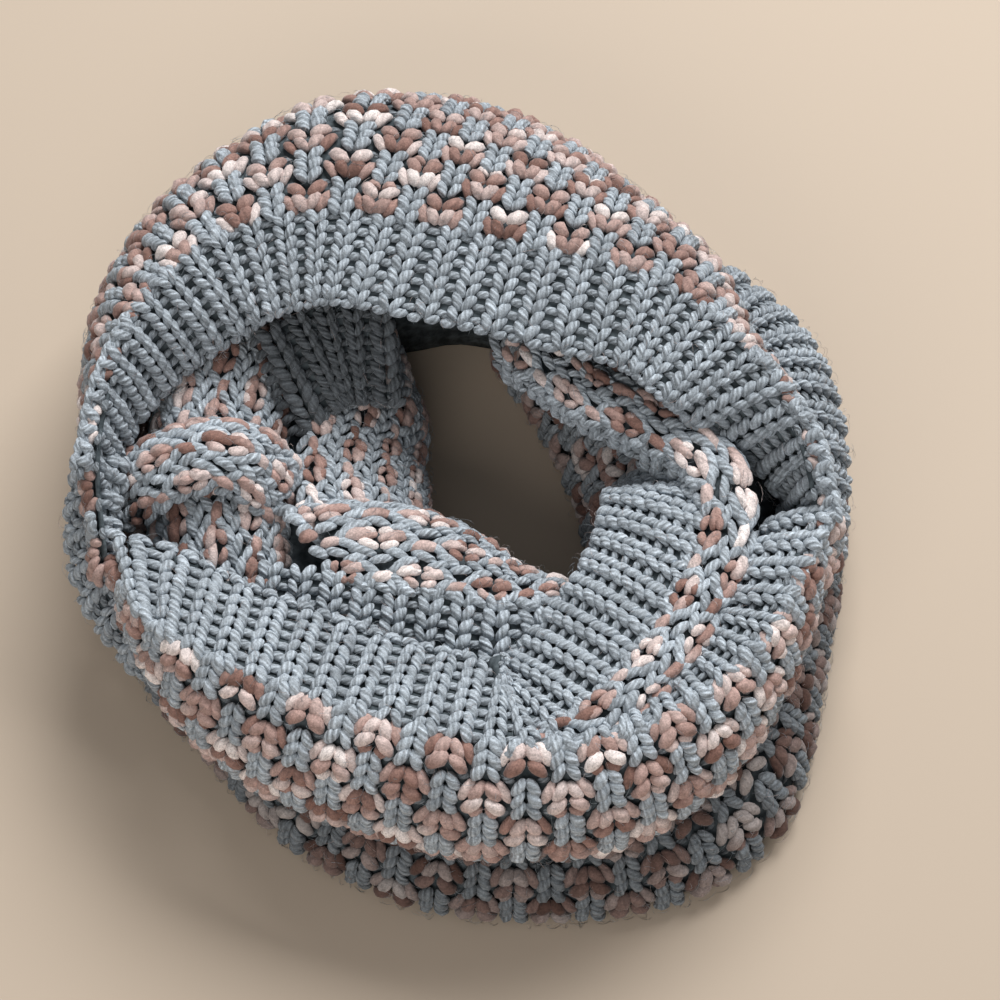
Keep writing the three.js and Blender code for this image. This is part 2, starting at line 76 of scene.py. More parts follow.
STRETCHES = {
    "back_upper_rib": (INWARD, [
        (124, -24, 78, 0, -85, -88, -90, 34),
        (119, 0, 87, -20, -50, -60, -80, 34),
        (109, 19, 92, -15, -14, -22, -30, 34),
        (94, 37, 94, -2, -6, -12, -20, 34),
        (70, 56, 95, 4, -4, -10, -18, 34),
        (32, 69, 94, 0, -4, -10, -18, 34),
        (-10, 80, 93, -4, -2, -8, -16, 34),
        (-48, 86, 93, -6, -2, -10, -18, 34),
        (-82, 76, 93, -6, -10, -24, -38, 34),
        (-106, 52, 92, -4, -34, -54, -68, 34),
        (-119, 22, 89, 0, -58, -76, -84, 34),
        (-124, -6, 84, 0, -65, -78, -85, 34),
    ]),
    "back_upper_body": (OUTWARD, [
        (124, -24, 78, 0, -56, -90, -112, 50),
        (119, 0, 87, 5, -72, -92, -104, 46),
        (109, 19, 92, 5, -58, -86, -105, 52),
        (94, 37, 94, 8, -40, -76, -108, 62),
        (70, 56, 95, 6, -10, -60, -114, 92),
        (32, 69, 94, 0, 8, -46, -118, 112),
        (-10, 80, 93, -4, 12, -36, -122, 118),
        (-48, 86, 93, -6, 10, -38, -120, 112),
        (-82, 76, 93, -6, -4, -54, -112, 94),
        (-106, 52, 92, -4, -22, -70, -108, 78),
        (-119, 22, 89, 0, -50, -85, -106, 66),
        (-124, -6, 84, 0, -72, -92, -106, 54),
        (-122, -34, 66, 0, -75, -92, -106, 36),
    ]),
    "fold_strip_floats": (OUTWARD, [
        (22, -102, 74, -20, 20, -20, -80, 12),
        (42, -92, 74, 0, 35, -10, -90, 21),
        (62, -69, 73, 0, 35, -10, -90, 24),
        (75, -46, 73, 0, 35, -10, -90, 24),
        (82, -26, 73, 0, 35, -10, -90, 24),
        (79, -7, 73, 20, 32, -10, -85, 27),
        (60, 7, 73, 30, 24, -8, -65, 32),
        (40, 18, 72, 24, 24, -8, -65, 33),
        (19, 38, 70, 20, 22, -8, -70, 33),
    ]),
    "front_upper_rib": (INWARD, [
        (-104, -60, 75, 50, -10, -14, -18, 36),
        (-84, -75, 79, 22, -10, -16, -22, 36),
        (-58, -87, 80, 10, -10, -18, -24, 36),
        (-30, -97, 80, 2, -10, -20, -28, 36),
        (0, -105, 80, 0, -10, -20, -28, 36),
        (22, -106, 79, -4, -12, -22, -32, 36),
        (42, -92, 74, 4, -10, -20, -36, 37),
        (62, -68, 73, -6, -6, -16, -40, 38),
        (75, -44, 73, -14, -4, -16, -46, 38),
        (80, -18, 71, -22, -6, -24, -56, 38),
        (78, 0, 63, -24, -20, -50, -85, 36),
    ]),
    "right_upper_rib": (INWARD, [
        (22, -108, 79, -30, -50, -70, -80, 34),
        (52, -103, 80, -20, -40, -62, -70, 34),
        (80, -89, 80, -6, -24, -48, -60, 34),
        (102, -68, 80, 8, -16, -36, -50, 34),
        (116, -42, 80, 14, -16, -30, -45, 34),
        (124, -24, 78, 10, -30, -45, -60, 30),
    ]),
    "front_upper_body": (OUTWARD, [
        (-116, -38, 66, 0, -80, -95, -118, 42),
        (-104, -60, 75, 0, -62, -92, -120, 46),
        (-84, -75, 79, 0, -34, -78, -120, 54),
        (-58, -87, 80, 0, -20, -68, -122, 60),
        (-30, -97, 80, 0, -18, -66, -122, 62),
        (0, -106, 80, 0, -18, -66, -122, 62),
        (28, -108, 80, 0, -18, -66, -122, 62),
        (54, -103, 80, 0, -22, -68, -122, 62),
        (80, -90, 80, 0, -28, -74, -122, 58),
        (102, -68, 80, 0, -40, -84, -120, 52),
        (116, -42, 80, 0, -52, -90, -116, 50),
        (124, -24, 78, 0, -56, -90, -112, 50),
    ]),
    "left_lower_rib": (INWARD, [
        (-133, 0, 60, 0, 80, 10, -80, 30),
        (-135, -16, 55, 0, 80, 10, -80, 30),
        (-133, -32, 50, 0, 80, 10, -80, 30),
        (-126, -48, 44, 0, 80, 10, -80, 30),
        (-114, -62, 38, 0, 80, 10, -80, 30),
    ]),
    "right_lower_rib": (INWARD, [
        (136, -14, 32, 0, 70, 35, 0, 32),
        (139, 12, 32, 0, 70, 35, 0, 32),
        (138, 38, 33, 0, 70, 35, 0, 32),
        (132, 62, 34, 0, 70, 35, 0, 32),
        (120, 82, 34, 0, 70, 35, 0, 32),
        (104, 97, 34, 0, 70, 35, 0, 32),
    ]),
    "lower_front_body": (OUTWARD, [
        (-106, -16, 38, 0, -20, -70, -98, 44),
        (-92, -42, 33, 0, -8, -55, -98, 42),
        (-73, -64, 30, 0, -8, -55, -98, 42),
        (-55, -85, 30, 0, -8, -55, -98, 42),
        (-40, -99, 30, 0, -8, -55, -98, 42),
        (-10, -114, 30, 0, -8, -55, -98, 42),
        (15, -118, 30, 0, -8, -55, -98, 42),
        (46, -117, 30, 0, -8, -52, -98, 42),
        (74, -109, 30, 0, -6, -50, -98, 43),
        (92, -94, 31, 0, -8, -52, -98, 44),
        (100, -70, 33, 0, -10, -55, -98, 46),
        (106, -40, 36, 0, -10, -58, -98, 49),
        (111, -8, 38, 0, -10, -58, -98, 51),
        (114, 18, 38, 0, -10, -58, -98, 51),
    ]),
    "inner_left_strap": (OUTWARD, [
        (-63, -14, 38, 0, 60, 0, -60, 32),
        (-68, -12, 55, 0, 60, 0, -60, 32),
        (-80, -9, 66, 0, 60, 0, -60, 32),
        (-96, -11, 63, 0, 60, 0, -60, 32),
        (-108, -15, 53, 0, 60, 0, -60, 32),
    ]),
    "inner_left_floats": (OUTWARD, [
        (-54, 64, 44, 0, 70, 0, -70, 62),
        (-60, 36, 44, 0, 70, 0, -70, 62),
        (-61, 8, 44, 0, 70, 0, -70, 62),
        (-59, -18, 40, 0, 65, 0, -65, 60),
        (-54, -42, 36, 0, 60, 0, -60, 58),
    ]),
    "inner_back_rib": (INWARD, [
        (-27, 65, 70, 0, -30, -38, -44, 38),
        (-40, 64, 72, 0, -30, -38, -44, 38),
        (-53, 60, 72, 0, -30, -38, -44, 38),
        (-66, 52, 70, 0, -30, -38, -44, 38),
    ]),
    "inner_front_floats": (INWARD, [
        (-37, -40, 57, 30, 10, -12, -80, 46),
        (-27, -41, 58, 15, 10, -15, -80, 46),
        (-10, -43, 58, 0, 10, -25, -85, 46),
        (16, -47, 57, 0, 6, -40, -85, 40),
        (36, -44, 54, 0, -20, -60, -85, 36),
    ]),
    "inner_front_rib": (OUTWARD, [
        (-64, -34, 56, 0, -10, -18, -20, 36),
        (-40, -38, 58, 0, -10, -18, -20, 36),
        (-10, -43, 58, 0, -10, -18, -20, 36),
        (16, -47, 57, 0, -10, -18, -20, 36),
        (36, -44, 54, 0, -10, -18, -20, 36),
    ]),
    "fold_strip_rib": (INWARD, [
        (80, -14, 69, 0, -80, -88, -92, 26),
        (77, -5, 70, 20, -80, -88, -92, 24),
        (59, 7, 70, 30, -80, -88, -92, 11),
        (39, 18, 69, 24, -80, -88, -92, 8),
        (19, 38, 68, 20, -80, -88, -92, 12),
    ]),
    "inner_left_wall": (INWARD, [
        (-38, 70, 44, 0, -20, -62, -95, 46),
        (-44, 51, 44, 0, -8, -40, -95, 52),
        (-52, 28, 46, 0, 0, -30, -95, 58),
        (-54, 8, 48, 0, 0, -30, -95, 60),
        (-52, -12, 50, 0, 0, -30, -95, 58),
    ]),
    "inner_right_wall": (OUTWARD, [
        (40, -26, 0, 0, 80, 60, 30, 50),
        (46, -7, 0, 0, 80, 60, 30, 60),
        (43, 13, 0, 0, 80, 60, 30, 60),
        (36, 34, 0, 0, 80, 60, 30, 60),
        (26, 55, 0, 0, 80, 60, 30, 60),
        (14, 74, 0, 0, 80, 60, 30, 56),
    ]),
    "lower_back_body": (OUTWARD, [
        (115, 21, 37, 0, -10, -58, -98, 49),
        (116, 44, 35, 0, -10, -58, -98, 47),
        (110, 66, 33, 0, -10, -58, -98, 45),
        (94, 88, 32, 0, -10, -58, -98, 44),
        (68, 106, 32, 0, -10, -58, -98, 44),
        (34, 118, 32, 0, -10, -58, -98, 44),
        (-6, 124, 32, 0, -10, -58, -98, 44),
        (-44, 118, 32, 0, -10, -58, -98, 44),
        (-76, 100, 32, 0, -10, -58, -98, 44),
        (-98, 72, 33, 0, -10, -58, -98, 45),
        (-109, 38, 36, 0, -10, -60, -98, 48),
        (-112, 8, 38, 0, -14, -64, -98, 49),
        (-108, -13, 39, 0, -20, -70, -98, 48),
    ]),
}

# The ring of hidden layers: its wall toward the hole, its outer wall and its height, by angle.
HIDDEN_ROWS = [
    (0, 56, 122, 50), (30, 58, 126, 54), (60, 76, 132, 62), (90, 84, 140, 68),
    (120, 80, 134, 64), (140, 60, 124, 52), (160, 32, 116, 42), (180, 24, 112, 40),
    (210, 24, 110, 42), (240, 26, 112, 46), (270, 28, 122, 48), (300, 34, 122, 48),
    (330, 46, 120, 48), (360, 56, 122, 50),
]

# ---- gauge of the knitting, in millimetres ------------------------------------------------
REPEAT = 23.5        # one tulip and one grey column, four stitches
BRICK = 13.2         # height of a tulip row, three rows of knitting
PAIR = REPEAT / 2    # one knit and one purl wale of the rib
RIB_ROW = 5.0        # height of a rib row
FIRST_TULIP = 6.2    # from the seam to the middle of the first row of tulips
FIRST_FLOAT = 4.0    # and on the wrong side, to the first row of floats
GROUND = 3.2         # how deep the ground cloth lies under the crests of the stitches
GROUND_THICK = 1.6
FLOOR_CLEAR = 1.2    # stitches end this far above the floor


def rows_between(rows, places):
    """Smooth rows between the rows of a table, at places counted in rows."""
    rows = np.array(rows, float)
    last = len(rows) - 1
    i = np.clip(np.floor(places).astype(int), 0, last - 1)
    t = (places - i)[:, None]
    b, c = rows[i], rows[i + 1]
    a = np.where((i > 0)[:, None], rows[np.maximum(i - 1, 0)], 2 * b - c)
    d = np.where((i + 2 <= last)[:, None], rows[np.minimum(i + 2, last)], 2 * c - b)
    curve = (2 * a - 5 * b + 4 * c - d) * t**2 + (3 * b - a - 3 * c + d) * t**3
    return 0.5 * (2 * b + (c - a) * t + curve)


def unit(vectors):
    return vectors / np.maximum(np.linalg.norm(vectors, axis=-1, keepdims=True), 1e-12)


def ripple(x, seed):
    """A smooth wandering number from -1 to 1, for hand-made unevenness."""
    x = np.asarray(x, float)
    return (np.sin(x + seed * 2.1) + np.sin(1.73 * x + seed * 5.3) + np.sin(0.61 * x + seed)) / 3


class Cloth:
    """The outer face of one stretch: a net of points that is read in millimetres of cloth."""

    ACROSS = 72

    def __init__(self, name):
        self.name = name
        self.way, rows = STRETCHES[name]
        last = len(rows) - 1
        places = np.linspace(0, last, 24 * last + 1)
        table = rows_between(rows, places)
        ahead = rows_between(rows, np.minimum(places + 0.02, last))
        behind = rows_between(rows, np.maximum(places - 0.02, 0))
        run = ahead[:, :2] - behind[:, :2]
        across = self.way * unit(np.stack([run[:, 1], -run[:, 0]], axis=1))
        lean = np.radians(table[:, 3])
        turn_x = across[:, 0] * np.cos(lean) - across[:, 1] * np.sin(lean)
        turn_y = across[:, 0] * np.sin(lean) + across[:, 1] * np.cos(lean)
        across = np.stack([turn_x, turn_y, np.zeros(len(lean))], axis=1)
        share = (np.arange(self.ACROSS) + 0.5) / self.ACROSS
        slope = np.radians(
            table[:, 4:5] * (1 - share) * (1 - 2 * share)
            + table[:, 5:6] * 4 * share * (1 - share)
            + table[:, 6:7] * share * (2 * share - 1)
        )
        step = table[:, 7:8] / self.ACROSS
        start = np.zeros((len(table), 1))
        level = np.concatenate([start, np.cumsum(step * np.cos(slope), axis=1)], axis=1)
        rise = np.concatenate([start, np.cumsum(step * np.sin(slope), axis=1)], axis=1)
        points = (table[:, None, :3] - np.array(MIDDLE)) + across[:, None, :] * level[..., None]
        points[..., 2] += rise
        self.points = points
        along = np.gradient(points, axis=0)
        over = np.gradient(points, axis=1)
        self.out = unit(np.cross(along, over)) * -self.way
        self.reach = table[:, 7]
        steps = np.linalg.norm(np.diff(points[:, 0], axis=0), axis=1)
        self.run = np.concatenate([[0], np.cumsum(steps)])
        self.length = self.run[-1]
        self.end = self._trimmed()
        self.face = self._face()
        # The cut of what shows: its mean depth, and its seam as the stitches count it.
        self.flat = (round(float(self.end.mean()) * MM, 3), round(float(self.length) * MM, 3))

    def _trimmed(self):
        """How far across the cloth goes before it meets the floor, in millimetres, by section."""
        height = self.points[..., 2]
        ends = self.reach.copy()
        for k in range(len(ends)):
            low = np.nonzero(height[k] < FLOOR_CLEAR)[0]
            low = low[low > self.ACROSS // 3]
            if len(low):
                ends[k] = self.reach[k] * low[0] / self.ACROSS
        return ends

    def _face(self):
        """Area of the modelled ground cloth, in square metres."""
        v = np.linspace(0, 1, 40)[None, :] * (self.end[:, None] - 0.8)
        u = np.repeat(self.run[:, None], 40, axis=1)
        net = self.at(u, v, np.full(u.shape, -GROUND - GROUND_THICK / 2))
        along = (net[1:] - net[:-1])[:, :-1]
        over = (net[:, 1:] - net[:, :-1])[:-1]
        area = np.linalg.norm(np.cross(along, over), axis=2).sum()
        width = float(self.end.mean()) * MM
        return round(width, 3) * round(float(area) / width, 3)

    def section(self, u):
        return np.interp(u, self.run, np.arange(len(self.run)))

    def reach_at(self, u):
        return np.interp(u, self.run, self.end)

    def spread_at(self, u, v):
        """How wide a millimetre of seam line is at v, where the cloth fans or draws in."""
        a = self.at(np.array([u - 2.0]), np.array([v]), np.array([0.0]))[0]
        b = self.at(np.array([u + 2.0]), np.array([v]), np.array([0.0]))[0]
        return float(np.linalg.norm(b - a) / 4.0 / MM)

    def _read(self, net, i, j):
        i0 = np.clip(np.floor(i).astype(int), 0, net.shape[0] - 2)
        j0 = np.clip(np.floor(j).astype(int), 0, net.shape[1] - 2)
        s, t = (i - i0)[..., None], (j - j0)[..., None]
        low = net[i0, j0] * (1 - t) + net[i0, j0 + 1] * t
        high = net[i0 + 1, j0] * (1 - t) + net[i0 + 1, j0 + 1] * t
        return low * (1 - s) + high * s

    def _place(self, u, v):
        i = self.section(u)
        beyond = np.where(u < 0, u, np.where(u > self.length, u - self.length, 0.0))
        i = i + beyond / (self.length / (len(self.run) - 1))
        reach = np.interp(u, self.run, self.reach)
        return i, v / reach * self.ACROSS

    def at(self, u, v, h):
        """Points at u along the seam, v across and h above the face, in metres."""
        i, j = self._place(u, v)
        return (self._read(self.points, i, j) + self.outward(u, v) * h[..., None]) * MM

    def outward(self, u, v):
        i, j = self._place(u, v)
        return unit(self._read(self.out, i, j))


# ---- colours ------------------------------------------------------------------------------
def linear(code):
    """An sRGB hex value as linear red, green and blue."""
    parts = [int(code[k:k + 2], 16) / 255 for k in (1, 3, 5)]
    return [c / 12.92 if c <= 0.04045 else ((c + 0.055) / 1.055) ** 2.4 for c in parts]


GREY = np.array(linear("#B3BCC4"))
# The pink yarn is space dyed, and runs through these shades from pale to terracotta.
SPACE_DYE = np.array([linear(c) for c in ("#F3E8E4", "#DAC8C3", "#BC9F97", "#A07E74", "#85655B")])
SPACE_STOPS = np.array([0.0, 0.26, 0.5, 0.76, 1.0])


def dyed(place):
    """The shade of the pink yarn at a place in its run of shades, from 0 to 1."""
    return np.array([np.interp(place, SPACE_STOPS, SPACE_DYE[:, k]) for k in range(3)])


# ---- stitch legs --------------------------------------------------------------------------
def leg_form(sides, rings):
    """One plump length of yarn, to be bent along each leg: points, faces and their corners."""
    bm = bmesh.new()
    bmesh.ops.create_uvsphere(bm, u_segments=sides, v_segments=rings, radius=1.0)
    bm.verts.ensure_lookup_table()
    points = np.array([v.co for v in bm.verts])
    faces = [[v.index for v in f.verts] for f in bm.faces]
    bm.free()
    round_about = np.arctan2(points[:, 1], points[:, 0]) / (2 * math.pi)
    polar = np.hypot(points[:, 0], points[:, 1]) < 1e-4
    corners = []
    for face in faces:
        turns = [round_about[k] for k in face if not polar[k]]
        if max(turns) - min(turns) > 0.5:
            turns_up = {k: round_about[k] + (round_about[k] < 0) for k in face}
        else:
            turns_up = {k: round_about[k] for k in face}
        middle = sum(turns_up[k] for k in face if not polar[k]) / len(turns)
        for k in face:
            corners.append(middle if polar[k] else turns_up[k])
    return points, faces, np.array(corners)


FINE_LEG = leg_form(8, 7)
PLAIN_LEG = leg_form(6, 6)
# A loose end of wool: the same form with three sides, drawn out very thin.
LOOSE_FIBRE = leg_form(3, 6)
FIBRE_DENSITY = 0.05  # to a square millimetre of cloth
FIBRE_THICK = 0.065   # half its thickness


class Yarn:
    """The stitch legs of one piece, gathered in cloth millimetres and then joined in one mesh."""

    def __init__(self, cloth, form=FINE_LEG, painted_shade=1.0):
        self.cloth = cloth
        self.form = form
        self.painted_shade = painted_shade
        self.legs = []

    def leg(self, start, middle, end, thick, shade, far_shade=None, roving=0):
        """A leg from start to end, drawn toward middle, each given as u, v and h."""
        far = shade if far_shade is None else far_shade
        self.legs.append((*start, *middle, *end, thick, *shade, *far, roving))

    def joined(self, name, stuffs):
        legs = np.array(self.legs, float)
        legs[:, :9] += chance.normal(0.0, 0.16, (len(legs), 9))
        legs[:, 9] *= 1 + chance.normal(0.0, 0.06, len(legs))
        # Painted shade: every yarn colour of the stretch is darkened by one factor.
        legs[:, 10:16] *= self.painted_shade
        points, faces, corner_turns = self.form
        t = (points[:, 2] + 1) / 2
        wide = np.hypot(points[:, 0], points[:, 1])
        # A grain has blunt ends, and so is fuller than a sphere drawn out.
        full = np.where(wide > 1e-6, np.clip(wide, 1e-6, 1) ** 0.78 / np.maximum(wide, 1e-6), 0)
        ring_x, ring_y = points[:, 0] * full, points[:, 1] * full

        def centre(share):
            weights = ((1 - share) ** 2, 2 * share * (1 - share), share**2)
            u, v, h = (
                sum(w[None, :] * legs[:, k + 3 * n, None] for n, w in enumerate(weights))
                for k in range(3)
            )
            return self.cloth.at(u, v, h), self.cloth.outward(u, v)

        middle, out = centre(t)
        ahead, _ = centre(np.minimum(t + 0.03, 1.03))
        behind, _ = centre(np.maximum(t - 0.03, -0.03))
        run = unit(ahead - behind)
        side = unit(np.cross(run, out))
        up = np.cross(side, run)
        thick = legs[:, 9, None, None] * MM
        # Soft chunky yarn is a little lumpy.
        lumpy = 1 + chance.normal(0.0, 0.07, (len(legs), len(points), 1))
        across = 0.92 * up * ring_x[None, :, None] + side * ring_y[None, :, None]
        place = middle + thick * lumpy * across
        place[..., 2] = np.maximum(place[..., 2], 0.0003)
        shade = legs[:, None, 10:13] * (1 - t)[None, :, None] + legs[:, None, 13:16] * t[None, :, None]
        count, size = len(legs), len(points)
        mesh = bpy.data.meshes.new(name)
        lengths = np.linalg.norm(np.diff(middle[:, np.argsort(t)], axis=1), axis=2).sum(axis=1)
        loops = np.array([k for face in faces for k in face])
        sizes = np.array([len(face) for face in faces])
        mesh.vertices.add(count * size)
        mesh.vertices.foreach_set("co", place.reshape(-1))
        mesh.loops.add(count * len(loops))
        shifted = loops[None, :] + (np.arange(count) * size)[:, None]
        mesh.loops.foreach_set("vertex_index", shifted.reshape(-1))
        mesh.polygons.add(count * len(sizes))
        starts = np.concatenate([[0], np.cumsum(sizes)[:-1]])
        all_starts = starts[None, :] + (np.arange(count) * len(loops))[:, None]
        mesh.polygons.foreach_set("loop_start", all_starts.reshape(-1))
        kinds = np.repeat(legs[:, 16].astype(int), len(sizes))
        mesh.polygons.foreach_set("material_index", kinds)
        mesh.update(calc_edges=True)
        mesh.polygons.foreach_set("use_smooth", np.ones(count * len(sizes), bool))
        strand = mesh.uv_layers.new(name="strand")
        turns = corner_turns[None, :] + chance.random((count, 1))
        # Along the strand a UV unit is a centimetre of yarn.
        run_on = t[loops][None, :] * lengths[:, None] * 100 + chance.random((count, 1)) * 40
        strand.data.foreach_set("uv", np.stack([turns, run_on], axis=2).reshape(-1))
        colours = mesh.color_attributes.new(name="shade", type="FLOAT_COLOR", domain="POINT")
        rgba = np.concatenate([shade, np.ones((count, size, 1))], axis=2)
        colours.data.foreach_set("color", rgba.reshape(-1))
        for stuff in stuffs:
            mesh.materials.append(stuff)
        mesh.validate()
        stitches = bpy.data.objects.new(name, mesh)
        bpy.context.collection.objects.link(stitches)
        return stitches


def grey_shade(u, v, seed):
    light = 1 + 0.10 * ripple(u / 9 + v / 13, seed) + chance.normal(0, 0.09)
    return GREY * max(light, 0.6)


def pink_shade(u, course, seed):
    """The pink yarn's shade on a course: it drifts along the course, and jumps between courses."""
    drift = 0.5 + 0.5 * ripple(u / 11 + course * 3.7, seed + course * 1.37)
    jump = chance.normal(0, 0.13)
    return dyed(min(max(1.25 * (drift - 0.5) + 0.5 + jump, 0), 1))


def knit_v(yarn, u, v, toward, shade_of, half=3.1, tall=3.0, thick=1.68, top=0.0, roving=0):
    """One knit stitch: two legs that meet at its foot and open toward the next row."""
    for side in (-1, 1):
        foot = (u + side * 0.55, v - toward * tall * 0.98, top - 2.0)
        bend = (u + side * half * 0.62, v + toward * tall * 0.05, top + 1.3)
        head = (u + side * half, v + toward * tall * 1.0, top - 3.0)
        yarn.leg(foot, bend, head, thick, shade_of(), shade_of(), roving)


def knit_rib(yarn, seed, crest=False):
    """k1p1 rib: ridges of knit Vs that open toward the body, with purl bumps sunk between."""
    cloth = yarn.cloth
    count = max(2, round(cloth.length / PAIR))
    pitch = cloth.length / count
    for i in range(count + 1):
        u = i * pitch
        reach = float(cloth.reach_at(np.clip(u, 0, cloth.length)))
        rows = int((reach - 0.5) / RIB_ROW)
        wide = cloth.spread_at(min(max(u, 3), cloth.length - 3), reach * 0.6)
        thick = 1.82 * min(max(wide, 0.62), 1.2) ** 0.45
        wander = 0.35 * ripple(i * 1.9, seed)
        for r in range(rows + 1):
            v = (r + 0.15) * RIB_ROW + 0.4 * ripple(i * 2.3, seed + 3)
            if v > reach - 1.0:
                continue

            def shade():
                return grey_shade(u, v, seed)

            knit_v(yarn, u + wander, v, -1, shade, half=3.6, tall=3.3, thick=thick)
            gap = u + pitch / 2
            across = pitch / 2 - 2.9
            # The purl bumps sunk between the ridges have their grey darkened with painted shade.
            painted_shade = grey_shade(gap, v, seed) * 0.86
            low = (gap - across, v + 0.9, -3.2)
            lift = (gap, v - 0.7, -1.7)
            high = (gap + across, v + 0.9, -3.2)
            yarn.leg(low, lift, high, thick * 0.82, painted_shade)
        if crest:
            # Where the cloth turns over a sharp crest, a strand lies along it.
            for k in (-1, 1):
                a = u + k * pitch / 4
                tone = grey_shade(a, 0, seed)
                yarn.leg((a - 3.8, -0.4, -3.8), (a, -1.6, -3.0), (a + 3.8, -0.4, -3.8), 1.9, tone)
        edge = reach - 0.2
        for k in (-1, 1):
            a = u + k * pitch / 4
            tone = grey_shade(a, edge, seed)
            yarn.leg((a - 2.6, edge - 1.2, -2.2), (a, edge + 1.4, -0.9), (a + 2.6, edge - 0.4, -3.0),
                     thick * 0.95, tone)


def tulip(yarn, u, v, course, seed, wide=1.0, size=1.0, tip_loops=False):
    """One pink tulip: two nested Vs and a steep leg on each side, opening away from the rib."""
    upper = pink_shade(u, course, seed)
    under = pink_shade(u + 9, course + 1, seed)
    sides = pink_shade(u + 5, course + 2, seed)
    k = size
    w = 1 / wide**1.6
    for side in (-1, 1):
        yarn.leg((u + side * 0.7 * w, v + 0.6 * k, -0.8), (u + side * 3.3 * w, v + 2.5 * k, 2.6),
                 (u + side * 6.0 * w, v + 5.6 * k, -2.0), 2.35, upper,
                 pink_shade(u + side * 4, course, seed), roving=1)
        yarn.leg((u + side * 0.5 * w, v - 4.7 * k, -2.2), (u + side * 2.3 * w, v - 2.2 * k, 1.9),
                 (u + side * 4.2 * w, v + 1.2 * k, -1.4), 2.25, under, under * 0.96, roving=1)
        yarn.leg((u + side * 3.4 * w, v - 5.2 * k, -3.0), (u + side * 6.1 * w, v - 2.4 * k, 0.9),
                 (u + side * 7.6 * w, v + 2.6 * k, -2.4), 2.05, sides, sides, roving=1)
    if tip_loops:
        tip = pink_shade(u + 15, course + 3, seed - 2)
        for side in (-1, 1):
            yarn.leg((u + side * 0.6 * w, v + 4.6 * k, -2.2), (u + side * 2.6 * w, v + 7.6 * k, 1.4),
                     (u + side * 4.6 * w, v + 5.2 * k, -2.2), 1.7, tip, roving=1)


def tulip_body(yarn, seed, loops=0.25):
    """Rows of tulips between grey knit columns, each row half a repeat on from the one before."""
    cloth = yarn.cloth
    count = max(2, round(cloth.length / REPEAT))
    pitch = cloth.length / count
    for half in range(0, 2 * count + 1):
        u = half * pitch / 2
        inside = min(max(u, 0), cloth.length)
        reach = float(cloth.reach_at(inside))
        bricks = int(reach / BRICK) + 2
        for b in range(bricks):
            v = FIRST_TULIP + b * BRICK
            wide = cloth.spread_at(min(max(u, 3), cloth.length - 3), min(v, reach))
            wide = min(max(wide, 0.7), 1.6)
            thick = wide**0.3
            if (half + b) % 2 == 0:
                if v < reach - 3.0:
                    tulip(yarn, u, v, b * 4, seed, thick, 1.0, chance.random() < loops)
                continue
            for r in range(3):
                place = v - BRICK / 2 + (r + 0.62) * BRICK / 3
                if place > reach - 1.5 or place < 0.5:
                    continue

                def shade():
                    return grey_shade(u, place, seed)

                knit_v(yarn, u, place, 1, shade, half=3.9 / wide**0.5,
                       tall=3.2, thick=1.9 * thick, top=0.5)
            # The strands behind, seen in the gaps beside the tulips, with their grey darkened as painted
            # shade.
            for side in (-1, 1):
                sunk = grey_shade(u, v, seed) * 0.62
                if 3 < v < reach - 3:
                    yarn.leg((u + side * 2.8, v - 6.0, -3.6), (u + side * 4.9, v - 5.4, -2.9),
                             (u + side * 7.0, v - 6.4, -3.8), 1.25, sunk)


def float_side(yarn, seed):
    """The wrong side of the body: plied grey strands in a braided lattice, lines of pink floats,
    and a small pink ring behind each tulip."""
    cloth = yarn.cloth
    count = max(1, round(cloth.length / REPEAT))
    pitch = cloth.length / count
    for half in range(0, 2 * count + 1):
        u = half * pitch / 2
        inside = min(max(u, 0), cloth.length)
        reach = float(cloth.reach_at(inside))
        for b in range(int(reach / BRICK) + 2):
            v = FIRST_FLOAT + b * BRICK
            if v > reach + 1.0:
                continue
            wide = cloth.spread_at(min(max(u, 3), cloth.length - 3), min(v, reach))
            thick = min(max(wide, 0.6), 1.4) ** 0.5
            if (half + b) % 2 == 0:
                ring = pink_shade(u, b * 3, seed)
                for side in (-1, 1):
                    for end in (-1, 1):
                        yarn.leg((u + end * 0.3, v + side * 3.0, -1.0), (u + end * 3.4, v + side * 3.4, 1.0),
                                 (u + end * 5.0, v + side * 0.3, -1.9), 1.6 * thick, ring,
                                 pink_shade(u + end * 5, b * 3, seed), roving=1)
                        grey = grey_shade(u + end * 8, v, seed)
                        yarn.leg((u + end * 4.6, v + side * 4.4, -1.8), (u + end * 8.2, v + side * 2.2, 0.9),
                                 (u + end * 11.4, v - side * 1.2, -2.3), 1.7 * thick, grey)
                continue
            for k in (-1, 0, 1):
                shade = pink_shade(u + k * 8, b * 3 + 1, seed)
                grey = grey_shade(u + k * 3, v, seed)
                side = 1 if k else -1
                yarn.leg((u + k * 8.0 - 4.4, v + side * 1.4 - 1.1, -1.9), (u + k * 8.0, v + side * 1.4, 1.6),
                         (u + k * 8.0 + 4.4, v + side * 1.4 + 1.1, -2.0), 1.95 * thick, shade,
                         pink_shade(u + k * 8 + 5, b * 3 + 1, seed), roving=1)
                yarn.leg((u + k * 7.6 - 3.8, v + 5.2 - 1.5, -2.0), (u + k * 7.6, v + 5.2, 0.9),
                         (u + k * 7.6 + 3.8, v + 5.2 + 1.5, -2.1), 1.7 * thick, grey)
                yarn.leg((u + k * 7.6 - 3.8, v - 5.2 + 1.5, -2.0), (u + k * 7.6, v - 5.2, 0.9),
                         (u + k * 7.6 + 3.8, v - 5.2 - 1.5, -2.1), 1.7 * thick, grey * 0.94)


# ---- materials ----------------------------------------------------------------------------
def node(tree, kind, links=None, values=None, **settings):
    """Adds a node with its settings, its sockets' values and what is linked into them."""
    made = tree.nodes.new(kind)
    for key, value in settings.items():
        setattr(made, key, value)
    for socket, value in (values or {}).items():
        made.inputs[socket].default_value = value
    for socket, source in (links or {}).items():
        tree.links.new(source, made.inputs[socket])
    return made


